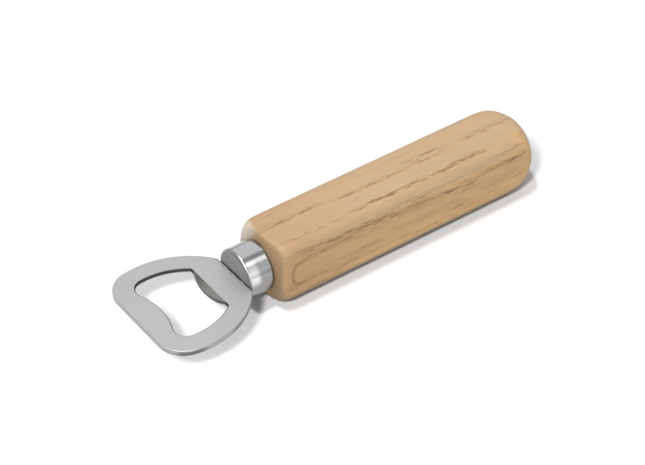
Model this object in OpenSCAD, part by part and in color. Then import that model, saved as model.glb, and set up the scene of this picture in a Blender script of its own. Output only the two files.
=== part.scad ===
// Wooden-handled bottle opener. A flat steel head has a tang that is glued into a
// bored oak handle, through a slotted steel ferrule. The opener lies along X with
// its head at -X, and rests on the flat underside of the handle at z = 0.

/* [Overall] */
// Length from the tip of the head to the butt of the handle
overall_l = 153.5; // [130:0.5:180]

/* [Head plate] */
// Thickness of the sheet that the head is cut from
plate_t = 2; // [1.8:0.1:2.4]
// How far the middle of the sheet lies below the handle's axis
plate_drop = 0.7; // [0:0.1:1]
// Greatest width of the head
head_w = 43.4; // [42:0.1:45]
// Length of the head in front of the ferrule
head_l = 36.5; // [35.5:0.5:37.5]
// Distance from the tip to the widest place
widest_x = 12.9; // [12.5:0.1:13.5]
// Radius of the two corners at the tip
corner_r = 9.5; // [8:0.1:10]
// Radius of the long curve down each side
side_r = 29.2; // [28.4:0.1:30]
// Radius of the two shoulder corners beside the ferrule
shoulder_r = 0.8; // [0.4:0.1:1.2]

/* [Cap opening] */
// Width of the rim beside the opening
rim_w = 6.5; // [5.9:0.1:6.6]
// Distance from the tip to the crest of the front lip
lip_x = 8.9; // [8.5:0.1:9.5]
// Radius of the bulging front lip
lip_r = 25; // [20:1:30]
// Radius of the opening's two front corners
pocket_r = 4.3; // [4:0.1:4.6]
// Distance from the tip to the back edge of the opening
back_x = 26.7; // [26.3:0.1:27.1]
// Radius of the opening's two back corners
back_r = 0.8; // [0.4:0.1:1]
// How far the lifting tooth stands out from the back edge
tooth_out = 1.9; // [1.7:0.1:2.4]
// Width of the lifting tooth at its root
tooth_w = 17.6; // [15:0.2:18]
// Thickness of metal left at the crest of the tooth
tooth_land = 0.8; // [0.6:0.1:1.2]

/* [Tang] */
// Width of the tang
tang_w = 8; // [6:0.5:8.5]
// Length of the tang behind the head
tang_l = 50; // [40:1:60]
// Length of the tang's tapered end
tang_taper = 9; // [6:1:14]
// Width of the tang's blunt tip
tang_tip_w = 3; // [2:0.5:4]
// Radius of the notches that key the tang into the adhesive
notch_r = 1.2; // [0.8:0.1:1.5]
// Number of notches along each edge of the tang
notch_count = 3; // [1:1:4]

/* [Ferrule] */
// Outside diameter of the ferrule
ferrule_d = 17.6; // [17:0.1:18.4]
// Length of the ferrule
ferrule_l = 9.2; // [8:0.1:10.4]
// Thickness of the ferrule's side wall
ferrule_wall = 1.3; // [1.1:0.1:1.5]
// Thickness of the ferrule's slotted front wall
ferrule_front = 1.5; // [1.2:0.1:2]
// Rounding of the ferrule's front rim
nose_r = 0.9; // [0.5:0.1:1.1]
// Rounding of the ferrule's rear rim
rear_r = 0.4; // [0.2:0.1:0.6]
// Clearance around the tang in the ferrule's slot
slot_gap = 0.15; // [0.1:0.05:0.3]

/* [Handle] */
// Width and height of the square handle
handle_w = 23.8; // [23:0.1:24]
// Rounding of the four long edges
edge_r = 5; // [4.5:0.5:6]
// Radius of the turned rounding at the ferrule end
near_r = 6.2; // [6.1:0.1:7]
// Radius of the flat that the ferrule end's rounding starts from
near_flat = 9; // [8.9:0.1:9.6]
// Radius of the turned dome at the butt
butt_r = 14; // [13:0.5:15]
// Radius of the small flat in the middle of the butt
butt_flat = 1.5; // [1:0.5:2]
// Gap between the tenon's end and the ferrule's front wall
tenon_gap = 0.3; // [0.1:0.1:0.6]
// Diameter of the blind bore for the tang
bore_d = 9.8; // [9.6:0.2:10.4]
// Depth of the bore beyond the end of the tang
bore_spare = 3; // [2:1:6]

/* [Hidden] */
$fn = 96;

// steps in each arc of the plate's outline, and the overshoot of a cut
arc_steps = 24;
cut = 1;

// heights, and places along the object measured from the tip of the head
axis_z = handle_w / 2;
tip_x = -overall_l / 2;
handle_x = head_l + ferrule_l;
cup_x = head_l + ferrule_front;
tang_end = head_l + tang_l;
bore_end = tang_end + bore_spare;
tenon_r = ferrule_d / 2 - ferrule_wall;

// the centre of the +Y side curve, which also centres the opening's side
side_c = [widest_x, head_w / 2 - side_r];
inner_r = side_r - rim_w;

// the centres of the arcs that run into the +Y side curve and its parallel
corner_c = arc_centre(side_r - corner_r, corner_r);
shoulder_c = arc_centre(side_r - shoulder_r, head_l - shoulder_r);
back_c = arc_centre(inner_r - back_r, back_x - back_r);
lip_c = [lip_x - lip_r, 0];
pocket_c = meeting(side_c, inner_r - pocket_r, lip_c, lip_r + pocket_r);

// the tooth's edge is an arc through its crest and its two root corners
tooth_r = (pow(tooth_w / 2, 2) + pow(tooth_out, 2)) / (2 * tooth_out);
tooth_c = [back_x - tooth_out + tooth_r, 0];

// point at distance r from the side curve's centre and at x from the tip
function arc_centre(r, x) = [x, side_c[1] + sqrt(r * r - pow(x - side_c[0], 2))];

// where two circles cross, on the left of the line from b to a
function meeting(a, ra, b, rb) =
    let (
        d = norm(a - b),
        along = (d * d + rb * rb - ra * ra) / (2 * d),
        across = sqrt(rb * rb - along * along),
        u = (a - b) / d
    )
    b + along * u + across * [-u[1], u[0]];

// direction from point a to point b
function bearing(a, b) = atan2(b[1] - a[1], b[0] - a[0]);

// points along an arc about c, from angle a0 to angle a1
function arc(c, r, a0, a1) = [
    for (i = [0 : arc_steps])
        let (a = a0 + (a1 - a0) * i / arc_steps)
        c + r * [cos(a), sin(a)]
];

// a closed outline from its +Y half, listed from front to back
function both_sides(half) = concat(
    half,
    [for (i = [len(half) - 1 : -1 : 0]) [half[i][0], -half[i][1]]]
);

// outer edge of the head, from the tip round to the shoulder
head_half = concat(
    arc(corner_c, corner_r, 180, bearing(side_c, corner_c)),
    arc(side_c, side_r, bearing(side_c, corner_c), bearing(side_c, shoulder_c)),
    arc(shoulder_c, shoulder_r, bearing(side_c, shoulder_c), 0)
);

// edge of the cap opening, from the crest of the lip round to the tooth's crest
opening_half = concat(
    arc(lip_c, lip_r, 0, bearing(lip_c, pocket_c)),
    arc(pocket_c, pocket_r, 180 + bearing(lip_c, pocket_c), bearing(side_c, pocket_c)),
    arc(side_c, inner_r, bearing(side_c, pocket_c), bearing(side_c, back_c)),
    arc(back_c, back_r, bearing(side_c, back_c), 0),
    arc(tooth_c, tooth_r, bearing(tooth_c, [back_x, tooth_w / 2]), 180)
);

// moves a shape drawn along X from the tip, about the axis, to its place
module at_tip() {
    translate([tip_x, 0, axis_z]) children();
}

// moves a shape drawn about the middle of the sheet down to the sheet's own level
module in_sheet() {
    translate([0, 0, -plate_drop]) children();
}

// turns a profile of (radius, distance from the tip) about the X axis
module turned() {
    rotate([0, 90, 0]) rotate_extrude() children();
}

// a disc of radius r and length l about X, its front face at x
module rod(x, r, l) {
    translate([x, 0, 0]) rotate([0, 90, 0]) cylinder(r = r, h = l);
}

// what is left of a square of side r outside the quarter circle in its corner
module corner_waste(r) {
    difference() {
        square(r + cut);
        circle(r);
    }
}

// a square of width w with four round corners
module round_square(w, r) {
    difference() {
        square(w, center = true);
        for (i = [0 : 3]) rotate(90 * i)
            translate([w / 2 - r, w / 2 - r]) corner_waste(r);
    }
}

// half profile of a turned piece from x0 to x1, with its rims rounded
module turned_profile(x0, x1, radius, r0, r1) {
    difference() {
        translate([0, x0]) square([radius, x1 - x0]);
        translate([radius - r1, x1 - r1]) corner_waste(r1);
        translate([radius - r0, x0 + r0]) mirror([0, 1]) corner_waste(r0);
    }
}

// flat outline of the tang behind the head
module tang_outline() {
    taper_x = tang_end - tang_taper;
    pitch = (taper_x - handle_x) / (notch_count + 1);
    difference() {
        polygon(both_sides([
            [head_l - cut, tang_w / 2],
            [taper_x, tang_w / 2],
            [tang_end, tang_tip_w / 2]
        ]));
        for (i = [1 : notch_count], side = [-1, 1])
            translate([handle_x + i * pitch, side * tang_w / 2]) circle(notch_r);
    }
}

// the tang as a solid, a little longer than the part of it behind the head
module tang() {
    in_sheet() linear_extrude(plate_t, center = true) tang_outline();
}

// the wedge that thins the lifting tooth from above
module tooth_bevel() {
    fall = (plate_t - tooth_land) / tooth_out;
    reach = tooth_out + cut;
    translate([back_x, tooth_w / 2, plate_t / 2]) rotate([90, 0, 0])
        linear_extrude(tooth_w)
            polygon([[0, 0], [0, cut], [-reach, cut], [-reach, -fall * reach]]);
}

module opener_head() {
    color("silver") at_tip() difference() {
        union() {
            in_sheet() linear_extrude(plate_t, center = true) polygon(both_sides(head_half));
            tang();
        }
        in_sheet() linear_extrude(plate_t + 2 * cut, center = true)
            polygon(both_sides(opening_half));
        in_sheet() tooth_bevel();
    }
}

module ferrule() {
    slot = [2 * ferrule_front, tang_w + 2 * slot_gap, plate_t + 2 * slot_gap];
    color("gainsboro") at_tip() difference() {
        turned() turned_profile(head_l, handle_x, ferrule_d / 2, nose_r, rear_r);
        rod(cup_x, tenon_r, ferrule_l);
        in_sheet() translate([cup_x - ferrule_front / 2, 0, 0]) cube(slot, center = true);
    }
}

module handle() {
    bar_l = overall_l - handle_x;
    color("burlywood") at_tip() difference() {
        union() {
            intersection() {
                translate([handle_x, 0, 0]) rotate([90, 0, 90])
                    linear_extrude(bar_l) round_square(handle_w, edge_r);
                turned() turned_profile(
                    handle_x, overall_l + handle_w, near_flat + near_r, near_r, edge_r
                );
                turned() turned_profile(
                    head_l, overall_l, butt_flat + butt_r, edge_r, butt_r
                );
            }
            rod(cup_x + tenon_gap, tenon_r, ferrule_l);
        }
        rod(cup_x, bore_d / 2, bore_end - cup_x);
    }
}

module tang_adhesive() {
    color("khaki") at_tip() difference() {
        rod(cup_x, bore_d / 2, bore_end - cup_x);
        tang();
    }
}

opener_head();
ferrule();
handle();
tang_adhesive();
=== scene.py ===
import math

import bpy
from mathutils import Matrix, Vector
from mathutils.geometry import delaunay_2d_cdt


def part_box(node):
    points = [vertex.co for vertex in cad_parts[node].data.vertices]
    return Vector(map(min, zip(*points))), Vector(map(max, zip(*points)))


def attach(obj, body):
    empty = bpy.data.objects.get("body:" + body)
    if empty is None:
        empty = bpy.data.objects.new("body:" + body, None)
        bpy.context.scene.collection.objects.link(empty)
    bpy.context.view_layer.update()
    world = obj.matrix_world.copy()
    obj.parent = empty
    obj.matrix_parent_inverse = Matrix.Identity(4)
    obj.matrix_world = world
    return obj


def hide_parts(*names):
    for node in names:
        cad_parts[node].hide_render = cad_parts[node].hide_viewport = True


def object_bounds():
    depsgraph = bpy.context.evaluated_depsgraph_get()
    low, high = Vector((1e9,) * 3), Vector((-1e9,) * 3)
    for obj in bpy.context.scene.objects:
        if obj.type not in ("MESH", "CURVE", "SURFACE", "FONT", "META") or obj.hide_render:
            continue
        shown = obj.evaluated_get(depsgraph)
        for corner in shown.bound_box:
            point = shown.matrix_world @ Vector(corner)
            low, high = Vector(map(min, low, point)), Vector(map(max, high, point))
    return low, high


# Wooden-handled bottle opener: satin steel head, polished ferrule and oak handle.
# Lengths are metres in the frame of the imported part. The head points to -X.

MM = 0.001

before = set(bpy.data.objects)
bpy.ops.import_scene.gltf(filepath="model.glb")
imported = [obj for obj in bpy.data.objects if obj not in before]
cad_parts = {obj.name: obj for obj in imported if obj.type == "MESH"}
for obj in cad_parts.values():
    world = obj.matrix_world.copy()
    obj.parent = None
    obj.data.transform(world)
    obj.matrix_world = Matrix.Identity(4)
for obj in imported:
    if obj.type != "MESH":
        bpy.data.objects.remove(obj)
cad_low, cad_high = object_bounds()
head_low, head_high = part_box("opener_head")
ferrule_low, ferrule_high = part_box("ferrule")
handle_low, handle_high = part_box("handle")
glue_low, glue_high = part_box("tang_adhesive")

# Places that the frame gives
AXIS_Z = (handle_low.z + handle_high.z) / 2
TIP_X = head_low.x
PLATE_TOP = head_high.z
PLATE_BOTTOM = head_low.z
HEAD_BACK = ferrule_low.x
FERRULE_BACK = ferrule_high.x
FERRULE_R = (ferrule_high.z - ferrule_low.z) / 2
TENON_FRONT = handle_low.x
BUTT_X = handle_high.x
HANDLE_HALF = (handle_high.z - handle_low.z) / 2
BORE_R = (glue_high.z - glue_low.z) / 2
BORE_END = glue_high.x

# The view, with its right and the level direction away from the camera
AZIMUTH = math.radians(36.2)
ELEVATION = math.radians(40.6)
CAMERA_DISTANCE = 650 * MM
LENS_MM = 117.8
SENSOR_MM = 36
# The middle of the picture, to the right of the head's tip and above it in the view
AIM_RIGHT = 57.05 * MM
AIM_UP = 27.30 * MM
RIGHT = Vector((math.cos(AZIMUTH), -math.sin(AZIMUTH), 0))
AWAY = Vector((math.sin(AZIMUTH), math.cos(AZIMUTH), 0))
UP = Vector((0, 0, 1))


# ---------------------------------------------------------------- scene: camera

def make_camera():
    """A long lens that looks down on the opener from in front of its head."""
    forward = math.cos(ELEVATION) * AWAY - math.sin(ELEVATION) * UP
    picture_up = RIGHT.cross(forward)
    tip = Vector((TIP_X, 0, PLATE_TOP))
    centre = tip + AIM_RIGHT * RIGHT + AIM_UP * picture_up
    data = bpy.data.cameras.new("camera")
    data.lens = LENS_MM
    data.sensor_width = SENSOR_MM
    data.clip_start = 0.01
    data.clip_end = 20
    camera = bpy.data.objects.new("camera", data)
    camera.location = centre - CAMERA_DISTANCE * forward
    camera.rotation_mode = "QUATERNION"
    camera.rotation_quaternion = forward.to_track_quat("-Z", "Y")
    bpy.context.scene.collection.objects.link(camera)
    bpy.context.scene.camera = camera


# ------------------------------------------------------------- shader node help

def new_material(name):
    """A new node material, its tree, and its Principled shader."""
    material = bpy.data.materials.new(name)
    material.use_nodes = True
    tree = material.node_tree
    return material, tree, tree.nodes["Principled BSDF"]


def add(tree, kind, inputs, **settings):
    """Adds a node. inputs maps a socket's name or number to a value or to a socket."""
    node = tree.nodes.new(kind)
    for name, value in settings.items():
        setattr(node, name, value)
    for name, value in inputs.items():
        if isinstance(value, bpy.types.NodeSocket):
            tree.links.new(value, node.inputs[name])
        else:
            node.inputs[name].default_value = value
    return node


def millimetres(tree):
    """Position on the object in millimetres."""
    coords = tree.nodes.new("ShaderNodeTexCoord").outputs["Object"]
    return scaled(tree, coords, (1000, 1000, 1000))


def scaled(tree, vector, factors):
    """A vector multiplied axis by axis."""
    node = add(tree, "ShaderNodeVectorMath", {0: vector, 1: factors}, operation="MULTIPLY")
    return node.outputs[0]


def math_node(tree, operation, a, b=0.0):
    """One arithmetic step."""
    return add(tree, "ShaderNodeMath", {0: a, 1: b}, operation=operation).outputs[0]


def plus(tree, a, b):
    """Sum of two values."""
    return math_node(tree, "ADD", a, b)


def minus(tree, a, b):
    """Difference of two values."""
    return math_node(tree, "SUBTRACT", a, b)


def times(tree, a, b):
    """Product of two values."""
    return math_node(tree, "MULTIPLY", a, b)


def larger(tree, a, b):
    """The larger of two values."""
    return math_node(tree, "MAXIMUM", a, b)


def parts_of(tree, vector):
    """The X, Y and Z parts of a vector."""
    return tuple(add(tree, "ShaderNodeSeparateXYZ", {0: vector}).outputs)


def moved(tree, vector, origin):
    """A vector measured from another origin."""
    node = add(tree, "ShaderNodeVectorMath", {0: vector, 1: origin}, operation="SUBTRACT")
    return node.outputs[0]


def radius_from(tree, place, y, z):
    """Distance in millimetres from the line along X through (y, z)."""
    flat = scaled(tree, moved(tree, place, (0, y, z)), (0, 1, 1))
    return add(tree, "ShaderNodeVectorMath", {0: flat}, operation="LENGTH").outputs["Value"]


def noise(tree, vector, per_mm, detail=2.0, roughness=0.5, distortion=0.0):
    """Smooth noise from 0 to 1 whose frequency per millimetre is given axis by axis."""
    place = scaled(tree, vector, per_mm)
    inputs = {
        "Vector": place, "Scale": 1.0, "Detail": detail,
        "Roughness": roughness, "Distortion": distortion,
    }
    return add(tree, "ShaderNodeTexNoise", inputs).outputs["Fac"]


def remap(tree, value, low, high, to_low=0.0, to_high=1.0):
    """Maps low..high to to_low..to_high, smoothly, and stays inside it."""
    inputs = {"Value": value, 1: low, 2: high, 3: to_low, 4: to_high}
    node = add(tree, "ShaderNodeMapRange", inputs, interpolation_type="SMOOTHSTEP")
    return node.outputs[0]


def band(tree, value, centre, width):
    """1 where a value is at a centre, falling to 0 at width from it."""
    gap = math_node(tree, "ABSOLUTE", minus(tree, value, centre))
    return remap(tree, gap, 0.25 * width, width, 1.0, 0.0)


def mix_colour(tree, factor, a, b):
    """Mixes two colours."""
    node = add(tree, "ShaderNodeMix", {}, data_type="RGBA")
    for socket, value in zip((node.inputs[0], node.inputs[6], node.inputs[7]), (factor, a, b)):
        if isinstance(value, bpy.types.NodeSocket):
            tree.links.new(value, socket)
        else:
            socket.default_value = value
    return node.outputs[2]


def ramp(tree, factor, stops):
    """A ramp of grey levels: stops are (position, level)."""
    node = add(tree, "ShaderNodeValToRGB", {"Fac": factor})
    elements = node.color_ramp.elements
    while len(elements) > 1:
        elements.remove(elements[-1])
    elements[0].position = stops[0][0]
    elements[0].color = (*[stops[0][1]] * 3, 1)
    for position, level in stops[1:]:
        elements.new(position).color = (level, level, level, 1)
    return node.outputs["Color"]


def bump(tree, height, depth_mm, normal=None):
    """Surface relief: height 0..1 stands for a depth in millimetres."""
    inputs = {"Strength": 1.0, "Distance": depth_mm * MM, "Height": height}
    if normal is not None:
        inputs["Normal"] = normal
    return add(tree, "ShaderNodeBump", inputs).outputs["Normal"]


# -------------------------------------------------------------------- materials

# Greys of the steel, then the browns of the oak, all linear
SEAM_PAINTED_SHADE = (0.015, 0.013, 0.012, 1)
SHEET = ((0.322, 0.313, 0.317, 1), (0.340, 0.331, 0.335, 1))
SHEET_PAINTED_SHADE = (0.20, 0.19, 0.18, 1)
CUT_EDGE = ((0.33, 0.325, 0.32, 1), (0.37, 0.365, 0.365, 1))
CUT_PAINTED_SHADE = (0.10, 0.096, 0.088, 1)
CUT_LOWER_DARK_REFLECTION = (0.10, 0.095, 0.09, 1)
CUT_ROLLED = (0.346, 0.337, 0.341, 1)
# the opening's upper wall is near black: dark torn metal, darkened further as painted shade
PUNCHED = ((0.045, 0.042, 0.042, 1), (0.075, 0.07, 0.07, 1))
PUNCHED_TOOTH = (0.17, 0.165, 0.16, 1)
PUNCHED_BURNISHED = (0.62, 0.61, 0.61, 1)
GROUND = ((0.235, 0.235, 0.220, 1), (0.275, 0.275, 0.258, 1))
GROUND_PAINTED_SHADE = (0.10, 0.10, 0.10, 1)
POLISHED = ((0.41, 0.41, 0.415, 1), (0.45, 0.45, 0.455, 1))
POLISHED_PAINTED_SHADE = (0.27, 0.268, 0.262, 1)
POLISHED_PAINTED_HIGHLIGHT = (0.84, 0.84, 0.83, 1)
POLISHED_JOINT_SHADE = (0.05, 0.045, 0.04, 1)
POLISHED_RIM_DARK_REFLECTION = (0.20, 0.20, 0.20, 1)
FACED = ((0.41, 0.405, 0.40, 1), (0.50, 0.495, 0.49, 1))

OAK = ((0.278, 0.179, 0.088, 1), (0.332, 0.229, 0.132, 1))
OAK_FIBRE = (0.390, 0.281, 0.170, 1)
OAK_RUDDY = (0.485, 0.294, 0.118, 1)
OAK_NEAR_FERRULE = (0.27, 0.162, 0.076, 1)
OAK_LATE_WOOD = (0.365, 0.215, 0.105, 1)
OAK_LINE_PORES = (0.215, 0.124, 0.056, 1)
OAK_RING_PORES = (0.176, 0.100, 0.044, 1)
OAK_FINE_PORES = (0.216, 0.128, 0.064, 1)
OAK_STRONG_LINES = (0.125, 0.064, 0.022, 1)
OAK_END_GRAIN_AND_SHADE = (0.205, 0.130, 0.068, 1)
OAK_PAINTED_SHEEN = (0.56, 0.50, 0.43, 1)

EPOXY = ((0.62, 0.47, 0.22, 1), (0.74, 0.60, 0.34, 1))
PAPER = ((0.565, 0.565, 0.570, 1), (0.575, 0.575, 0.580, 1))

# How metallic the satin sheet is: its blasted skin scatters part of the light
SATIN_METALLIC = 0.6


def layered(tree, tone, layers):
    """Covers a colour with others in turn: a layer is (share, colour)."""
    for share, colour in layers:
        tone = mix_colour(tree, share, tone, colour)
    return tone


def dress(tree, shader, tone, rough, relief):
    """Gives a shader its colour, roughness and relief."""
    tree.links.new(tone, shader.inputs["Base Color"])
    tree.links.new(rough, shader.inputs["Roughness"])
    tree.links.new(relief, shader.inputs["Normal"])


def satin_steel():
    """Blasted stainless sheet: even grey, very fine grit, faint clouding, painted shade at the
    joint.
    """
    material, tree, shader = new_material("satin_steel")
    place = millimetres(tree)
    along = parts_of(tree, place)[0]
    cloud = noise(tree, place, (0.10, 0.10, 0.10), 3)
    grit = noise(tree, place, (7, 7, 7), 3, 0.6)
    rolled = noise(tree, place, (0.25, 6, 6), 2)
    back = HEAD_BACK / MM
    # painted shade: the sheet darkens towards the ferrule, darkest in the seam against it
    tone = layered(tree, mix_colour(tree, cloud, *SHEET), (
        (remap(tree, along, back - 2.0, back - 0.1, 0.0, 0.45), SHEET_PAINTED_SHADE),
        (remap(tree, along, back - 0.45, back - 0.2), SEAM_PAINTED_SHADE),
    ))
    shader.inputs["Metallic"].default_value = SATIN_METALLIC
    rough = remap(tree, cloud, 0.3, 0.7, 0.44, 0.52)
    relief = bump(tree, rolled, 0.004, bump(tree, grit, 0.010))
    dress(tree, shader, tone, rough, relief)
    return material


def edge_painted_shade(tree, along, across):
    """Painted shade on stretches of the cut edge: the -Y front corner, and the flank beside the
    neck.
    """
    tip = TIP_X / MM
    corner = times(
        tree, remap(tree, along, tip + 9.0, tip + 13.0, 1.0, 0.0),
        remap(tree, across, -19.5, -17.5, 1.0, 0.0),
    )
    flank = times(
        tree, remap(tree, along, tip + 20.0, tip + 25.0),
        remap(tree, across, -8.0, 4.0, 1.0, 0.0),
    )
    return larger(tree, corner, flank)


def sheared_steel():
    """Cut and tumbled edge: upright tool marks, painted shade and a painted dark reflection
    along its foot, below a rolled-over upper part.
    """
    material, tree, shader = new_material("sheared_steel")
    place = millimetres(tree)
    along, across, height = parts_of(tree, place)
    marks = noise(tree, place, (1.6, 1.6, 0.18), 3, 0.6)
    patches = remap(tree, noise(tree, place, (0.14, 0.14, 0.10), 2), 0.35, 0.65)
    bottom = PLATE_BOTTOM / MM
    # painted dark reflection along the wall's lower edge
    lower_dark_reflection = remap(tree, height, bottom, bottom + 0.6, 1.0, 0.0)

    # the rolled-over part is as fine as the sheet, and runs deepest at the tip
    tip = TIP_X / MM
    at_tip = remap(tree, along, tip + 0.4, tip + 3.5, 0.8, 0.0)
    below = minus(tree, minus(tree, PLATE_TOP / MM - 0.45, height), at_tip)
    rolled = remap(tree, below, -0.2, 0.2, 1.0, 0.0)

    # painted shade on the -Y front corner and the flank beside the neck
    tone = layered(tree, mix_colour(tree, patches, *CUT_EDGE), (
        (times(tree, edge_painted_shade(tree, along, across), 0.80), CUT_PAINTED_SHADE),
        (times(tree, lower_dark_reflection, 0.6), CUT_LOWER_DARK_REFLECTION),
        (rolled, CUT_ROLLED),
    ))
    metallic = remap(tree, rolled, 0.0, 1.0, 0.8, SATIN_METALLIC)
    tree.links.new(metallic, shader.inputs["Metallic"])
    rough = plus(tree, remap(tree, patches, 0.3, 0.7, 0.34, 0.44), times(tree, rolled, 0.08))
    dress(tree, shader, tone, rough, bump(tree, marks, 0.020))
    return material


def bevel_drop(tree, along, across):
    """Where the wall edges the tooth, and how far the bevel has lowered its upper edge."""
    beyond = minus(tree, (TIP_X + BACK_X) / MM, along)
    near_root = math_node(tree, "LESS_THAN", beyond, 3.0)
    beside = math_node(tree, "ABSOLUTE", across)
    narrow = math_node(tree, "LESS_THAN", beside, TOOTH_HALF / MM + 0.1)
    on_tooth = times(tree, near_root, narrow)
    drop = times(tree, larger(tree, beyond, 0.0), BEVEL_FALL)
    return on_tooth, times(tree, drop, on_tooth)


def punched_steel():
    """The punched wall of the cap opening: dark where it is torn, partly as painted shade,
    burnished below.
    """
    material, tree, shader = new_material("punched_steel")
    place = millimetres(tree)
    along, across, height = parts_of(tree, place)
    marks = noise(tree, place, (2.2, 2.2, 0.25), 3, 0.6)
    patches = noise(tree, place, (0.35, 0.35, 0.5), 2)
    uneven = times(tree, minus(tree, marks, 0.5), 0.5)
    on_tooth, drop = bevel_drop(tree, along, across)
    level = plus(tree, plus(tree, height, uneven), drop)
    top = PLATE_TOP / MM
    burnished = remap(tree, level, top - 1.35, top - 0.95, 1.0, 0.0)
    tone = layered(tree, mix_colour(tree, patches, *PUNCHED), (
        (times(tree, on_tooth, 0.8), PUNCHED_TOOTH),
        (burnished, PUNCHED_BURNISHED),
    ))
    shader.inputs["Metallic"].default_value = 1.0
    rough = remap(tree, burnished, 0.0, 1.0, 0.50, 0.22)
    dress(tree, shader, tone, rough, bump(tree, marks, 0.03))
    return material


def ground_steel():
    """Ground bevel of the tooth: fine strokes down the slope, with painted shade towards +Y."""
    material, tree, shader = new_material("ground_steel")
    place = millimetres(tree)
    across = parts_of(tree, place)[1]
    strokes = noise(tree, place, (0.4, 7, 0.4), 3, 0.6)
    patches = noise(tree, place, (0.35, 0.25, 0.35), 2)
    tone = mix_colour(tree, patches, *GROUND)
    # painted shade darkens the bevel towards +Y
    tone = mix_colour(tree, remap(tree, across, -1.0, 7.5, 0.0, 0.85), tone, GROUND_PAINTED_SHADE)
    shader.inputs["Metallic"].default_value = 1.0
    rough = remap(tree, strokes, 0.3, 0.7, 0.38, 0.50)
    dress(tree, shader, tone, rough, bump(tree, strokes, 0.012))
    return material


def polished_steel():
    """Polished turned steel: lines round the ferrule and smears, with painted shade, a painted
    highlight and a painted dark reflection.
    """
    material, tree, shader = new_material("polished_steel")
    place = millimetres(tree)
    along, _, height = parts_of(tree, place)
    turned = noise(tree, place, (9, 0.05, 0.05), 2)
    smears = noise(tree, place, (0.35, 0.35, 0.35), 3)
    scratches = noise(tree, place, (3.0, 0.6, 0.6), 3, 0.7, 0.4)

    # painted shade darkens the lower half, and a painted highlight brightens a spot behind the
    # front rim
    front = HEAD_BACK / MM
    back = FERRULE_BACK / MM
    above = minus(tree, height, AXIS_Z / MM)
    lower_painted_shade = remap(tree, above, 1.0, 6.5, 0.75, 0.0)
    # painted highlight: a bright spot behind the front rim
    painted_highlight = times(tree, band(tree, above, 4.0, 4.5), band(tree, along, front + 2.2, 2.8))
    # the rounded front rim is left rough as it was turned, with a painted dark reflection, and
    # painted shade lies where wood begins
    rim_rough_and_dark_reflection = remap(tree, along, front + 0.5, front + 0.9, 0.30, 0.0)
    # painted shade in the joint against the wood
    joint_shade = remap(tree, along, back - 0.35, back - 0.1)

    tone = layered(tree, mix_colour(tree, smears, *POLISHED), (
        (lower_painted_shade, POLISHED_PAINTED_SHADE),
        (times(tree, painted_highlight, 0.9), POLISHED_PAINTED_HIGHLIGHT),
        (joint_shade, POLISHED_JOINT_SHADE),
        (times(tree, rim_rough_and_dark_reflection, 2.0), POLISHED_RIM_DARK_REFLECTION),
    ))
    shader.inputs["Metallic"].default_value = 1.0
    rough = plus(tree, remap(tree, smears, 0.3, 0.75, 0.10, 0.17), rim_rough_and_dark_reflection)
    relief = bump(tree, scratches, 0.0010, bump(tree, turned, 0.0012))
    dress(tree, shader, tone, rough, relief)
    return material


def faced_steel():
    """The ferrule's front face: satin, with fine circles left by facing it off."""
    material, tree, shader = new_material("faced_steel")
    place = millimetres(tree)
    height = parts_of(tree, place)[2]
    radius = radius_from(tree, place, 0, AXIS_Z / MM)
    wave = {"W": times(tree, radius, 6.0), "Scale": 1.0, "Detail": 3.0}
    rings = add(tree, "ShaderNodeTexNoise", wave, noise_dimensions="1D").outputs["Fac"]
    patches = noise(tree, place, (0.3, 0.3, 0.3), 2)
    top = PLATE_TOP / MM
    # painted shade in the seam just above the plate
    seam_painted_shade = remap(tree, height, top + 0.25, top + 0.6, 1.0, 0.0)
    tone = mix_colour(tree, seam_painted_shade, mix_colour(tree, patches, *FACED), SEAM_PAINTED_SHADE)
    shader.inputs["Metallic"].default_value = 1.0
    rough = remap(tree, patches, 0.3, 0.7, 0.30, 0.38)
    dress(tree, shader, tone, rough, bump(tree, rings, 0.006))
    return material


# Growth rings: the tree's centre lies beside the handle, and a ring is a radius from it.
PITH_Y = -46.0
PITH_Z = AXIS_Z / MM + 0.2
RING_RADII = (34.4, 39.6, 47.4, 52.6, 57.2)
RING_SPAN = (28.0, 62.0)

# Dark lines of pores that show on the surface: start and end from the tip in mm, the
# place round the handle in degrees (90 is the top, 180 the -Y side), its drift in
# degrees per mm, its width in degrees, and its depth of colour.
STREAKS = (
    (46, 72, 86.0, -0.10, 1.6, 0.80),
    (44, 58, 79.5, 0.10, 1.4, 0.50),
    (74, 119, 93.6, 0.02, 1.3, 0.75),
    (103, 121, 82.4, 0.04, 1.6, 0.85),
    (128, 151, 90.5, -0.05, 2.4, 0.80),
    (50, 77, 124.8, 0.01, 1.0, 0.50),
    (76, 134, 124.2, 0.03, 1.3, 0.95),
    (48, 92, 142.5, 0.16, 1.8, 0.75),
    (50, 98, 156.5, -0.02, 1.6, 0.60),
    (72, 108, 151.0, 0.04, 5.0, 0.55),
    (92, 128, 149.5, 0.42, 1.4, 0.85),
    (128, 147, 153.6, 0.00, 1.6, 1.00),
    (130, 149, 139.5, 0.00, 1.1, 0.60),
    (56, 88, 187.0, 0.02, 1.2, 0.40),
    (62, 100, 202.5, 0.02, 1.5, 0.55),
    (96, 140, 207.0, 0.03, 1.4, 0.40),
)

# The ring that surfaces on the -Y side as a long loop, in mm from the tip and the axis
LOOP_NOSE = 51.0
LOOP_MIDDLE = 0.6
LOOP_HALF = 3.8


def ring_level(radius):
    """Position of a ring radius on a ramp."""
    return (radius - RING_SPAN[0]) / (RING_SPAN[1] - RING_SPAN[0])


def ring_ramp(tree, factor, steps):
    """A ramp that repeats the same (offset in mm, level) steps at every ring."""
    stops = []
    for radius in RING_RADII:
        stops += [(ring_level(radius + offset), level) for offset, level in steps]
    return ramp(tree, factor, stops)


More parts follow.
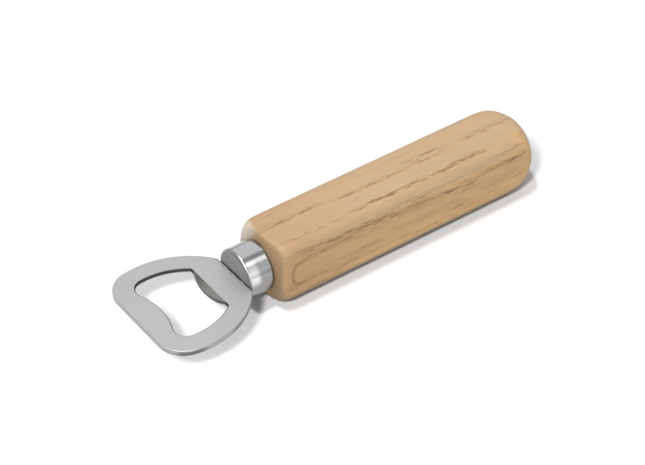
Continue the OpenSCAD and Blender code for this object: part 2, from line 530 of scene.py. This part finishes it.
def growth_rings(tree, place):
    """Each ring's dark line, the porous band outside it, and the tan late wood inside it."""
    slow = noise(tree, place, (0.022, 0.05, 0.05), 1)
    quick = noise(tree, place, (0.11, 0.25, 0.25), 3, 0.6)
    wander = times(tree, minus(tree, slow, 0.5), 2.2)
    wobble = times(tree, minus(tree, quick, 0.5), 0.7)
    radius = radius_from(tree, place, PITH_Y, PITH_Z)
    radius = plus(tree, radius, plus(tree, wander, wobble))
    span = RING_SPAN[1] - RING_SPAN[0]
    level = math_node(tree, "DIVIDE", minus(tree, radius, RING_SPAN[0]), span)
    line = ring_ramp(tree, level, [(-0.35, 0.0), (0.0, 1.0), (0.45, 0.0)])
    porous = ring_ramp(tree, level, [(-0.5, 0.05), (0.0, 1.0), (1.0, 0.75), (1.9, 0.05)])
    late = ring_ramp(tree, level, [(-2.6, 0.0), (-0.2, 1.0), (0.9, 0.0)])
    return line, porous, late


def open_pores(tree, place, line, porous):
    """Pores, seen as dashes along the grain: in the bands, on the lines, and fine ones."""
    patch = remap(tree, noise(tree, place, (0.06, 0.35, 0.35), 2), 0.38, 0.62)
    vessels = noise(tree, place, (0.11, 2.4, 2.4), 2, 0.55, 0.3)
    dashes = remap(tree, vessels, 0.55, 0.66)
    in_bands = times(tree, times(tree, dashes, porous), patch)
    on_lines = times(tree, line, remap(tree, patch, 0.0, 1.0, 0.1, 0.8))
    fine = remap(tree, noise(tree, place, (0.30, 5.5, 5.5), 2, 0.6), 0.56, 0.72)
    return in_bands, on_lines, fine


def turn_about_axis(tree, across, height):
    """Angle round the handle in degrees: 0 at +Y, 90 at the top, and so on to 360."""
    turn = times(tree, math_node(tree, "ARCTAN2", height, across), math.degrees(1.0))
    lower = math_node(tree, "LESS_THAN", turn, 0.0)
    return plus(tree, turn, times(tree, lower, 360.0))


def streak(tree, along, turn, ragged, start, end, centre, drift, width, depth):
    """One dark line along the handle with pores beside it, thin at its ends."""
    faint, dashes = ragged
    line = minus(tree, turn, times(tree, along, drift))
    middle = centre - drift * start
    shown = times(tree, band(tree, line, middle, width), faint)
    pores = times(tree, band(tree, line, middle, 3.2 * width), dashes)
    begun = remap(tree, along, start - 3, start + 6)
    ended = remap(tree, along, end - 8, end + 3, 1.0, 0.0)
    shown = times(tree, larger(tree, shown, pores), times(tree, begun, ended))
    return times(tree, shown, depth)


def growth_loop(tree, along, height, side, ragged):
    """The outline of a ring that a flat side has cut into: two arms and a round nose."""
    faint, dashes = ragged
    arm = math_node(tree, "ABSOLUTE", minus(tree, height, LOOP_MIDDLE))
    arm = minus(tree, arm, LOOP_HALF)
    nose = minus(tree, LOOP_NOSE, along)
    corner = {0: arm, 1: nose, 2: 7.0}
    nearest = add(tree, "ShaderNodeMath", corner, operation="SMOOTH_MAX").outputs[0]
    line = band(tree, nearest, 0.6, 0.75)
    tip = remap(tree, along, 50, 57, 1.0, 0.0)
    strength = larger(tree, tip, larger(tree, faint, dashes))
    shown = times(tree, times(tree, line, side), strength)
    return times(tree, shown, remap(tree, along, 55, 100, 1.0, 0.0))


def strong_lines(tree, place, along, across, height):
    """The strongest lines of the grain, placed one by one and made to waver."""
    shake = minus(tree, noise(tree, place, (0.20, 0.08, 0.08), 3, 0.6), 0.5)
    turn = plus(tree, turn_about_axis(tree, across, height), times(tree, shake, 3.0))
    faint = remap(tree, noise(tree, place, (0.16, 0.5, 0.5), 3, 0.65), 0.42, 0.60, 0.10, 0.85)
    dashes = remap(tree, noise(tree, place, (0.24, 2.0, 2.0), 2, 0.6), 0.50, 0.58)
    ragged = (faint, dashes)
    side = remap(tree, across, -10.5, -9.0, 1.0, 0.0)
    bent = plus(tree, height, times(tree, shake, 2.0))
    strong = times(tree, growth_loop(tree, along, bent, side, ragged), 0.6)
    for row in STREAKS:
        strong = larger(tree, strong, streak(tree, along, turn, ragged, *row))
    return strong


def ruddy_share(tree, along, across):
    """How ruddy the wood is: most on the flat -Y side, and on the -Y half of the butt."""
    flat_side = remap(tree, across, -11.9, -11.65, 0.80, 0.0)
    dome = (BUTT_X - TIP_X - BUTT_R) / MM
    at_butt = remap(tree, along, dome, dome + 8.0)
    at_butt = times(tree, at_butt, remap(tree, across, -10.5, -4.0, 0.75, 0.0))
    return larger(tree, flat_side, at_butt)


def end_grain_shade_and_sheen(tree, tone, across, height):
    """Darkens the ends, the near one most, as end grain and partly as painted shade, and paints
    a pale sheen on its upper +Y quarter.
    """
    facing = add(tree, "ShaderNodeNewGeometry", {}).outputs["Normal"]
    to_butt = parts_of(tree, facing)[0]
    endwise = larger(tree, times(tree, to_butt, -1.0), times(tree, to_butt, 0.35))
    # painted sheen: a pale washed highlight on the near end's upper +Y quarter
    painted_sheen = times(tree, remap(tree, endwise, 0.2, 0.8), remap(tree, across, 0.0, 8.0))
    painted_sheen = times(tree, painted_sheen, remap(tree, height, 0.0, 5.0))
    # end grain darkens the ends; on the near end the darkening is also painted shade
    return layered(tree, tone, (
        (remap(tree, endwise, 0.25, 0.85, 0.0, 0.80), OAK_END_GRAIN_AND_SHADE),
        (times(tree, painted_sheen, 0.6), OAK_PAINTED_SHEEN),
    ))


def oak():
    """Light oak, cut from one solid: growth rings, open pores in lines, and fine fibre."""
    material, tree, shader = new_material("oak")
    place = millimetres(tree)
    from_tip = moved(tree, place, (TIP_X / MM, 0, AXIS_Z / MM))
    along, across, height = parts_of(tree, from_tip)
    line, porous, late = growth_rings(tree, place)
    in_bands, on_lines, fine = open_pores(tree, place, line, porous)
    strong = strong_lines(tree, place, along, across, height)
    fibre = noise(tree, place, (0.06, 1.6, 1.6), 4, 0.65)
    blotch = noise(tree, place, (0.035, 0.16, 0.16), 2)

    tone = layered(tree, mix_colour(tree, blotch, *OAK), (
        (remap(tree, fibre, 0.3, 0.7, 0.0, 0.50), OAK_FIBRE),
        (ruddy_share(tree, along, across), OAK_RUDDY),
        (remap(tree, along, 46.0, 92.0, 0.52, 0.0), OAK_NEAR_FERRULE),
        (times(tree, late, 0.35), OAK_LATE_WOOD),
        (times(tree, on_lines, 0.35), OAK_LINE_PORES),
        (times(tree, in_bands, 0.65), OAK_RING_PORES),
        (times(tree, fine, 0.40), OAK_FINE_PORES),
        (times(tree, strong, 0.9), OAK_STRONG_LINES),
    ))
    tone = end_grain_shade_and_sheen(tree, tone, across, height)

    rough = remap(tree, fibre, 0.3, 0.7, 0.48, 0.60)
    rough = plus(tree, rough, times(tree, in_bands, 0.2))
    shader.inputs["Specular IOR Level"].default_value = 0.4
    sunk = larger(tree, larger(tree, in_bands, on_lines), strong)
    relief = bump(tree, minus(tree, 1.0, sunk), 0.03)
    relief = bump(tree, fine, -0.02, relief)
    relief = bump(tree, fibre, 0.02, relief)
    dress(tree, shader, tone, rough, relief)
    return material


def epoxy():
    """Cured amber glue with small bubbles."""
    material, tree, shader = new_material("epoxy")
    place = millimetres(tree)
    cloud = noise(tree, place, (0.3, 0.3, 0.3), 3)
    bubbles = noise(tree, place, (1.5, 1.5, 1.5), 1)
    rough = remap(tree, cloud, 0.3, 0.7, 0.22, 0.40)
    dress(tree, shader, mix_colour(tree, cloud, *EPOXY), rough, bump(tree, bubbles, 0.05))
    return material


def pale_paper():
    """Seamless pale paper for the floor."""
    material, tree, shader = new_material("pale_floor")
    place = millimetres(tree)
    tone = mix_colour(tree, noise(tree, place, (0.8, 0.8, 0.8), 2), *PAPER)
    tree.links.new(tone, shader.inputs["Base Color"])
    shader.inputs["Roughness"].default_value = 0.9
    shader.inputs["Specular IOR Level"].default_value = 0.1
    return material


# -------------------------------------------------------------------- mesh help

# How delaunay_2d_cdt fills its rings, and the distance within which it joins points
INSIDE_WITH_HOLES = 2
MERGE_WITHIN = 0.00001 * MM

def make_piece(name, vertices, faces, materials, slots_of_faces, node):
    """A mesh piece that stands for a CAD node."""
    mesh = bpy.data.meshes.new(name)
    mesh.from_pydata(vertices, [], faces)
    for material in materials:
        mesh.materials.append(material)
    mesh.polygons.foreach_set("material_index", slots_of_faces)
    mesh.polygons.foreach_set("use_smooth", [True] * len(faces))
    mesh.validate()
    mesh.update()
    piece = bpy.data.objects.new(name, mesh)
    bpy.context.scene.collection.objects.link(piece)
    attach(piece, "root")
    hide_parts(node)
    return piece


def sharpen(piece, degrees):
    """Marks the hard edges, and lets the large faces set the normals beside them."""
    mesh = piece.data
    faces_of_edge = {}
    for polygon in mesh.polygons:
        for key in polygon.edge_keys:
            faces_of_edge.setdefault(key, []).append(polygon.normal.copy())
    limit = math.radians(degrees)
    for edge in mesh.edges:
        normals = faces_of_edge.get(tuple(sorted(edge.vertices)), [])
        edge.use_edge_sharp = len(normals) == 2 and normals[0].angle(normals[1], 0) > limit
    weighted = piece.modifiers.new("weighted_normals", "WEIGHTED_NORMAL")
    weighted.keep_sharp = True
    weighted.weight = 50


def inset(outline, distance):
    """Moves a closed counter-clockwise outline inwards, corner by corner."""
    shifted = []
    count = len(outline)
    for i, point in enumerate(outline):
        before = (point - outline[i - 1]).normalized()
        after = (outline[(i + 1) % count] - point).normalized()
        normal = Vector((-before.y - after.y, before.x + after.x))
        normal.normalize()
        stretch = max(0.5, normal.dot(Vector((-after.y, after.x))))
        shifted.append(point + normal * (distance / stretch))
    return shifted


def bridge(faces, first, second):
    """Joins two closed loops of vertex numbers with quads."""
    count = len(first)
    for i in range(count):
        j = (i + 1) % count
        faces.append((first[i], first[j], second[j], second[i]))


# ------------------------------------------------------------------- steel head

# The same sizes as the CAD head: its outline, its cap opening, its tooth and its tang
HEAD_HALF = head_high.y
HEAD_L = HEAD_BACK - TIP_X
WIDEST_X = 12.9 * MM
CORNER_R = 9.5 * MM
SIDE_R = 29.2 * MM
SHOULDER_R = 0.8 * MM
RIM_W = 6.5 * MM
LIP_X = 8.9 * MM
LIP_R = 25 * MM
POCKET_R = 4.3 * MM
BACK_X = 26.7 * MM
BACK_R = 0.8 * MM
TOOTH_OUT = 1.9 * MM
TOOTH_HALF = 8.8 * MM
TOOTH_LAND = 0.8 * MM
BEVEL_FALL = (PLATE_TOP - PLATE_BOTTOM - TOOTH_LAND) / TOOTH_OUT
TANG_HALF = 4 * MM
TANG_TAPER = 9 * MM
TANG_TIP_HALF = 1.5 * MM
NOTCH_R = 1.2 * MM
NOTCH_COUNT = 3
TANG_END = head_high.x - TIP_X
# Rounding of the plate's upper and lower edges, which the CAD leaves sharp
ROLL_TOP = 0.32 * MM
ROLL_BOTTOM = 0.15 * MM
# Points of the opening further from the tip than this are at the tooth's end of it
TOOTH_END_X = LIP_X + 8 * MM
ARC_STEPS = 40


def on_side_circle(centre, r, x):
    """Point at distance r from the side curve's centre, at x from the tip, on the +Y side."""
    return Vector((x, centre.y + math.sqrt(r * r - (x - centre.x) ** 2)))


def crossing(a, ra, b, rb):
    """Where two circles cross, on the left of the line from b to a."""
    gap = a - b
    d = gap.length
    along = (d * d + rb * rb - ra * ra) / (2 * d)
    across = math.sqrt(rb * rb - along * along)
    u = gap / d
    return b + along * u + across * Vector((-u.y, u.x))


def bearing(a, b):
    """Direction from a to b."""
    return math.atan2(b.y - a.y, b.x - a.x)


def arc(centre, r, start, end, steps=ARC_STEPS):
    """Points along an arc."""
    turns = [start + (end - start) * i / steps for i in range(steps + 1)]
    return [centre + r * Vector((math.cos(t), math.sin(t))) for t in turns]


def straight(a, b, steps):
    """Points between a and b, without b."""
    return [a.lerp(b, i / steps) for i in range(steps)]


def both_sides(half):
    """A closed outline, counter-clockwise, from its +Y half listed front to back."""
    mirrored = [Vector((p.x, -p.y)) for p in half]
    loop = mirrored + half[::-1]
    return [p for i, p in enumerate(loop) if (p - loop[i - 1]).length > 0.02 * MM]


def tang_edge():
    """The +Y edge of the tang with its notches, from the head to the tang's tip."""
    handle_start = FERRULE_BACK - TIP_X
    taper_start = TANG_END - TANG_TAPER
    pitch = (taper_start - handle_start) / (NOTCH_COUNT + 1)
    edge = [Vector((HEAD_L, TANG_HALF))]
    for i in range(1, NOTCH_COUNT + 1):
        middle = Vector((handle_start + i * pitch, TANG_HALF))
        edge += arc(middle, NOTCH_R, math.pi, 2 * math.pi, 16)
    return edge + [Vector((taper_start, TANG_HALF)), Vector((TANG_END, TANG_TIP_HALF))]


def head_outlines():
    """The plate's outer edge with its tang, and the cap opening, measured from the tip."""
    side = Vector((WIDEST_X, HEAD_HALF - SIDE_R))
    inner_r = SIDE_R - RIM_W
    corner = on_side_circle(side, SIDE_R - CORNER_R, CORNER_R)
    shoulder = on_side_circle(side, SIDE_R - SHOULDER_R, HEAD_L - SHOULDER_R)
    back = on_side_circle(side, inner_r - BACK_R, BACK_X - BACK_R)
    lip = Vector((LIP_X - LIP_R, 0))
    pocket = crossing(side, inner_r - POCKET_R, lip, LIP_R + POCKET_R)
    tooth_r = (TOOTH_HALF ** 2 + TOOTH_OUT ** 2) / (2 * TOOTH_OUT)
    tooth = Vector((BACK_X - TOOTH_OUT + tooth_r, 0))

    outer = straight(Vector((0, 0)), Vector((0, corner.y)), 12)
    outer += arc(corner, CORNER_R, math.pi, bearing(side, corner))
    outer += arc(side, SIDE_R, bearing(side, corner), bearing(side, shoulder), 60)
    outer += arc(shoulder, SHOULDER_R, bearing(side, shoulder), 0, 10)
    outer += straight(Vector((HEAD_L, shoulder.y)), Vector((HEAD_L, TANG_HALF)), 4)[1:]
    outer += tang_edge()

    hole = arc(lip, LIP_R, 0, bearing(lip, pocket))
    hole += arc(pocket, POCKET_R, math.pi + bearing(lip, pocket), bearing(side, pocket))
    hole += arc(side, inner_r, bearing(side, pocket), bearing(side, back))
    hole += arc(back, BACK_R, bearing(side, back), 0, 10)
    hole += straight(Vector((BACK_X, back.y)), Vector((BACK_X, TOOTH_HALF)), 4)[1:]
    hole += arc(tooth, tooth_r, bearing(tooth, Vector((BACK_X, TOOTH_HALF))), math.pi)
    return both_sides(outer), both_sides(hole)


def head_top(point):
    """Height of the plate's upper face: the tooth's bevel falls away from its root line."""
    on_tooth = abs(point.y) < TOOTH_HALF + 0.01 * MM and TOOTH_END_X < point.x < BACK_X
    if not on_tooth:
        return PLATE_TOP
    return PLATE_TOP - BEVEL_FALL * (BACK_X - point.x)


def roll_steps():
    """Rows down the wall: (depth into the metal, distance from its face, is it upper)."""
    steps = []
    for i in range(5):
        turn = math.radians(90 * i / 4)
        depth = ROLL_TOP * (1 - math.sin(turn))
        steps.append((depth, ROLL_TOP * (1 - math.cos(turn)), True))
    for i in range(4):
        turn = math.radians(90 * i / 3)
        depth = ROLL_BOTTOM * (1 - math.cos(turn))
        steps.append((depth, ROLL_BOTTOM * (1 - math.sin(turn)), False))
    return steps


def rolled_wall(vertices, faces, outline, into_metal):
    """The wall along an outline, with its upper and lower edges rolled over.

    into_metal is 1 for an outer edge and -1 for a hole. Returns the loops of vertex
    numbers where the upper and lower faces begin."""
    loops = []
    for depth, drop, upper in roll_steps():
        loop = []
        for original, point in zip(outline, inset(outline, depth * into_metal)):
            top = head_top(original)
            thickness = min(1.0, (top - PLATE_BOTTOM) / (PLATE_TOP - PLATE_BOTTOM))
            z = top - drop * thickness if upper else PLATE_BOTTOM + drop * thickness
            if not loops:
                z = min(z, head_top(point))
            loop.append(len(vertices))
            vertices.append((TIP_X + point.x, point.y, z))
        loops.append(loop)
    for a, b in zip(loops, loops[1:]):
        if into_metal > 0:
            bridge(faces, b, a)
        else:
            bridge(faces, a, b)
    return loops[0], loops[-1]


def fill(vertices, faces, loops, upwards, axes=(0, 1)):
    """Fills the area between an outer loop and its holes with triangles."""
    numbers = [i for loop in loops for i in loop]
    flat = [Vector((vertices[i][axes[0]], vertices[i][axes[1]])) for i in numbers]
    rings = []
    used = 0
    for loop in loops:
        rings.append(list(range(used, used + len(loop))))
        used += len(loop)
    made = delaunay_2d_cdt(flat, [], rings, INSIDE_WITH_HOLES, MERGE_WITHIN)
    triangles, sources = made[2], made[3]
    for triangle in triangles:
        a, b, c = (sources[i][0] for i in triangle)
        turn = (flat[b] - flat[a]).cross(flat[c] - flat[a])
        ordered = (a, b, c) if (turn > 0) == upwards else (a, c, b)
        faces.append(tuple(numbers[i] for i in ordered))


def tooth_edge(vertices, hole_loop):
    """The vertices of the opening's upper loop that edge the tooth, from -Y to +Y."""
    edge = [
        i for i in hole_loop
        if abs(vertices[i][1]) < TOOTH_HALF + ROLL_TOP and vertices[i][0] - TIP_X > TOOTH_END_X
    ]
    return sorted(edge, key=lambda i: vertices[i][1])


def make_head(materials):
    """The stamped head: flat plate, cap opening, bevelled lifting tooth and tang."""
    vertices = []
    faces = []
    outer, hole = head_outlines()
    outer_top, outer_bottom = rolled_wall(vertices, faces, outer, 1)
    outside = len(faces)
    hole_top, hole_bottom = rolled_wall(vertices, faces, hole, -1)
    walls = len(faces)

    # the flat plate ends at the tooth's root line, where the bevel begins
    tooth = tooth_edge(vertices, hole_top)
    beyond_root = set(tooth[1:-1])
    plate_hole = [i for i in hole_top if i not in beyond_root]
    fill(vertices, faces, [outer_top, plate_hole], True)
    plate = len(faces)
    fill(vertices, faces, [tooth], True)
    bevel = len(faces)
    fill(vertices, faces, [outer_bottom, hole_bottom], False)

    satin, sheared, ground, punched = range(4)
    slots = [sheared] * outside + [punched] * (walls - outside) + [satin] * (plate - walls)
    slots += [ground] * (bevel - plate) + [satin] * (len(faces) - bevel)
    piece = make_piece("steel_head", vertices, faces, materials, slots, "opener_head")
    sharpen(piece, 40)
    return piece


# ---------------------------------------------------------------------- ferrule

# The same sizes as the CAD ferrule, and the number of points round it
FERRULE_WALL = 1.3 * MM
FERRULE_FRONT = 1.5 * MM
NOSE_R = 0.9 * MM
REAR_R = 0.4 * MM
SLOT_GAP = 0.15 * MM
# Chamfer at the mouth of its bore
MOUTH = 0.12 * MM
FERRULE_AROUND = 160


def axis_loop(vertices, x, count, radius_at):
    """A ring of vertices about the handle's axis, radius_at(turn) away from it."""
    first = len(vertices)
    for i in range(count):
        turn = 2 * math.pi * i / count
        r = radius_at(turn)
        vertices.append((x, r * math.cos(turn), AXIS_Z + r * math.sin(turn)))
    return list(range(first, first + count))


def circle_loop(vertices, x, radius, count):
    """A round ring of vertices about the handle's axis."""
    return axis_loop(vertices, x, count, lambda turn: radius)


def slot_loop(vertices, x):
    """The ferrule's rectangular slot, a little larger than the tang."""
    half = TANG_HALF + SLOT_GAP
    low, high = PLATE_BOTTOM - SLOT_GAP, PLATE_TOP + SLOT_GAP
    first = len(vertices)
    vertices += [(x, half, high), (x, -half, high), (x, -half, low), (x, half, low)]
    return list(range(first, first + 4))


def ferrule_profile():
    """(x, radius) from the front face's rim, over the outside, to the floor of the cup."""
    points = []
    for i in range(11):
        turn = math.radians(90 * i / 10)
        x = HEAD_BACK + NOSE_R * (1 - math.sin(turn))
        points.append((x, FERRULE_R - NOSE_R * (1 - math.cos(turn))))
    points.reverse()
    for i in range(7):
        turn = math.radians(90 * i / 6)
        x = FERRULE_BACK - REAR_R * (1 - math.sin(turn))
        points.append((x, FERRULE_R - REAR_R * (1 - math.cos(turn))))
    bore = FERRULE_R - FERRULE_WALL
    points.append((FERRULE_BACK, bore + MOUTH))
    points.append((FERRULE_BACK - MOUTH, bore))
    points.append((HEAD_BACK + FERRULE_FRONT, bore))
    return points


def make_ferrule(materials):
    """A turned cup with a slotted front wall and rounded rims."""
    vertices = []
    faces = []
    loops = [circle_loop(vertices, x, r, FERRULE_AROUND) for x, r in ferrule_profile()]
    for a, b in zip(loops, loops[1:]):
        bridge(faces, a, b)
    turned = len(faces)
    front_slot = slot_loop(vertices, HEAD_BACK)
    back_slot = slot_loop(vertices, HEAD_BACK + FERRULE_FRONT)
    fill(vertices, faces, [loops[0], front_slot], False, (1, 2))
    front = len(faces)
    bridge(faces, back_slot, front_slot)
    fill(vertices, faces, [loops[-1], back_slot], True, (1, 2))
    polished, faced = range(2)
    slots = [polished] * turned + [faced] * (front - turned) + [polished] * (len(faces) - front)
    piece = make_piece("steel_ferrule", vertices, faces, materials, slots, "ferrule")
    sharpen(piece, 40)
    return piece


# ----------------------------------------------------------------------- handle

# The same sizes as the CAD handle
EDGE_R = 5 * MM
NEAR_R = 6.2 * MM
NEAR_FLAT = 9 * MM
BUTT_R = 14 * MM
BUTT_FLAT = 1.5 * MM
TENON_R = FERRULE_R - FERRULE_WALL
# How wide sanding has rounded the line between the square bar and its turned ends
SANDED = 1.8 * MM
# The handle's closed ends are fans about a point-like ring of this radius
PINPOINT_R = 0.02 * MM
HANDLE_AROUND = 240
NEAR_STEPS = 44
BAR_STEPS = 40
BUTT_STEPS = 60


def square_radius(turn):
    """Distance from the axis to the edge of the round-cornered square section."""
    c, s = abs(math.cos(turn)), abs(math.sin(turn))
    flat = HANDLE_HALF / max(c, s)
    k = HANDLE_HALF - EDGE_R
    if min(c, s) * flat <= k:
        return flat
    along = k * (c + s)
    return along + math.sqrt(max(0.0, along * along - (2 * k * k - EDGE_R ** 2)))


def soft_least(a, b, width):
    """The smaller of a and b, with a rounded changeover."""
    h = max(0.0, width - abs(a - b)) / width
    return min(a, b) - h * h * width / 4


def handle_sections():
    """(x, turned radius that limits the square bar) along the visible wood."""
    sections = []
    for i in range(1, NEAR_STEPS + 1):
        turn = math.pi / 2 * i / NEAR_STEPS
        x = FERRULE_BACK + NEAR_R * (1 - math.cos(turn))
        sections.append((x, NEAR_FLAT + NEAR_R * math.sin(turn)))
    start, end = FERRULE_BACK + NEAR_R, BUTT_X - BUTT_R
    for i in range(1, BAR_STEPS):
        share = i / BAR_STEPS
        limit = (NEAR_FLAT + NEAR_R) * (1 - share) + (BUTT_FLAT + BUTT_R) * share
        sections.append((start + (end - start) * share, limit))
    for i in range(BUTT_STEPS + 1):
        turn = math.pi / 2 * (1 - i / BUTT_STEPS)
        x = BUTT_X - BUTT_R * (1 - math.cos(turn))
        sections.append((x, BUTT_FLAT + BUTT_R * math.sin(turn)))
    return sections


def make_handle(material):
    """The oak handle with its tenon, turned ends and blind bore."""
    vertices = []

    def ring(x, radius):
        return circle_loop(vertices, x, radius, HANDLE_AROUND)

    def section(x, limit):
        def radius_at(turn):
            return soft_least(square_radius(turn), limit, SANDED)
        return axis_loop(vertices, x, HANDLE_AROUND, radius_at)

    # from the floor of the bore to its mouth, over the tenon, and along the bar
    loops = [
        ring(BORE_END, PINPOINT_R),
        ring(BORE_END, BORE_R),
        ring(TENON_FRONT, BORE_R),
        ring(TENON_FRONT, TENON_R),
        ring(FERRULE_BACK, TENON_R),
        ring(FERRULE_BACK, NEAR_FLAT),
    ]
    loops += [section(x, limit) for x, limit in handle_sections()]
    loops.append(ring(BUTT_X, PINPOINT_R))

    faces = []
    for a, b in zip(loops, loops[1:]):
        bridge(faces, a, b)
    faces.append(tuple(reversed(loops[0])))
    faces.append(tuple(loops[-1]))
    slots = [0] * len(faces)
    piece = make_piece("oak_handle", vertices, faces, [material], slots, "handle")
    sharpen(piece, 50)
    return piece


# ------------------------------------------------------------- floor and lights

def make_floor():
    """A wide flat sheet that the handle rests on."""
    half = 2.0
    mesh = bpy.data.meshes.new("floor")
    corners = [(-half, -half), (half, -half), (half, half), (-half, half)]
    mesh.from_pydata([(x, y, cad_low.z) for x, y in corners], [], [(0, 1, 2, 3)])
    mesh.materials.append(pale_paper())
    floor = bpy.data.objects.new("floor", mesh)
    bpy.context.scene.collection.objects.link(floor)


LIGHT_DISTANCE = 1.4

# Bright panels of the room: the direction they lie in, the angle in degrees within which
# they are full, the angle at which they have faded out, and their brightness
PANELS = (
    (0.76 * AWAY + 0.65 * UP, 28, 40, 0.65),
    (Vector((0.448, -0.395, 0.803)), 5, 12, 1.45),
    (Vector((0.448, -0.75, 0.48)), 8, 24, 0.35),
    (Vector((-0.40, 0.80, 0.35)), 20, 40, 0.8),
    (Vector((-0.15, -0.97, 0.18)), 12, 38, 1.7),
)


def softbox(name, across, away, up, size, power):
    """A square area light aimed at the opener, placed by directions in the view."""
    data = bpy.data.lights.new(name, "AREA")
    data.shape = "SQUARE"
    data.size = size
    data.energy = power
    light = bpy.data.objects.new(name, data)
    direction = (across * RIGHT + away * AWAY + up * UP).normalized()
    target = (cad_low + cad_high) / 2
    light.location = target + direction * LIGHT_DISTANCE
    light.rotation_mode = "QUATERNION"
    light.rotation_quaternion = direction.to_track_quat("Z", "Y")
    bpy.context.scene.collection.objects.link(light)
    return light


def shade_only(light, pieces):
    """Lets only the given pieces cast a shadow in a light."""
    blockers = bpy.data.collections.new(light.name + "_blockers")
    for piece in pieces:
        blockers.objects.link(piece)
    light.light_linking.blocker_collection = blockers


def glow(tree, direction, toward, inner, outer, level):
    """Brightness that is level within inner degrees of a direction, and 0 beyond outer."""
    aimed = add(
        tree, "ShaderNodeVectorMath", {0: direction, 1: toward.normalized()},
        operation="DOT_PRODUCT",
    ).outputs["Value"]
    low, high = math.cos(math.radians(outer)), math.cos(math.radians(inner))
    return remap(tree, aimed, low, high, 0.0, level)


def make_world():
    """A dim room that is brighter towards +X, with soft bright panels round the opener."""
    world = bpy.data.worlds.new("studio")
    world.use_nodes = True
    tree = world.node_tree
    direction = tree.nodes.new("ShaderNodeTexCoord").outputs["Generated"]
    # nearly dark on the head's side of the room, and lit on the butt's side
    total = remap(tree, parts_of(tree, direction)[0], 0.08, 0.42, 0.03, 0.50)
    for panel in PANELS:
        total = plus(tree, total, glow(tree, direction, *panel))
    background = tree.nodes["Background"]
    background.inputs["Color"].default_value = (1.0, 1.0, 1.0, 1)
    tree.links.new(total, background.inputs["Strength"])
    bpy.context.scene.world = world


def make_lights():
    """The room, a soft key light above the camera, and a soft light overhead."""
    make_world()
    key = softbox("key", -0.30, -0.80, 1.0, 0.22, 20.0)
    overhead = softbox("overhead", -0.17, 0.0, 1.0, 0.16, 13.0)
    return key, overhead


# ------------------------------------------------------------------------ build

bpy.context.scene.view_settings.view_transform = "Standard"
bpy.context.scene.view_settings.look = "None"
make_camera()
make_floor()
key, overhead = make_lights()
head = make_head([satin_steel(), sheared_steel(), ground_steel(), punched_steel()])
make_ferrule([polished_steel(), faced_steel()])
handle = make_handle(oak())
shade_only(key, [head, handle])
shade_only(overhead, [handle])
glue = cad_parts["tang_adhesive"]
glue.data.materials.clear()
glue.data.materials.append(epoxy())
